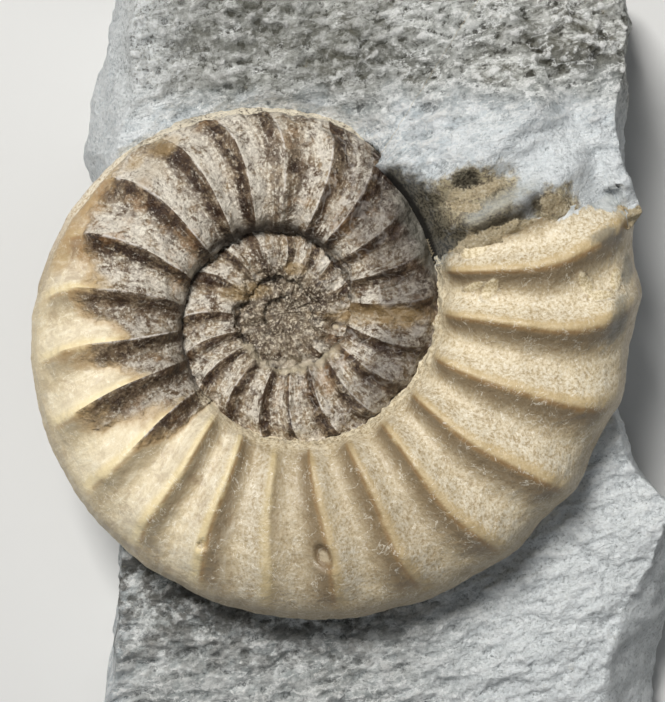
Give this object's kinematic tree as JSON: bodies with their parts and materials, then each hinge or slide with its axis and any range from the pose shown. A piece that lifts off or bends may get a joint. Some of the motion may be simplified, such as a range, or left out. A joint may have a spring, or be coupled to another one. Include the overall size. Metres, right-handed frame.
{
  "type": "ammonite fossil",
  "caption": "Coiled, ribbed ammonite standing out of a rough block of grey limestone, lying face up on the block's flat back.",
  "frame": {"origin": "foot of the coil's axis on the block's flat back", "axes": "+Z out of the fossil's face, along the coil's axis; +Y towards the end of the block above the coil; +X towards the coil's mouth"},
  "size_m": [0.0993, 0.1143, 0.0451],
  "materials": {
    "shell_calcite": "waxy polish, cream to dark brown",
    "grey_limestone": "matt, broken and scraped"
  },
  "bodies": {
    "root": {"ammonite": "shell_calcite", "limestone_block": "grey_limestone"}
  },
  "joints": []
}
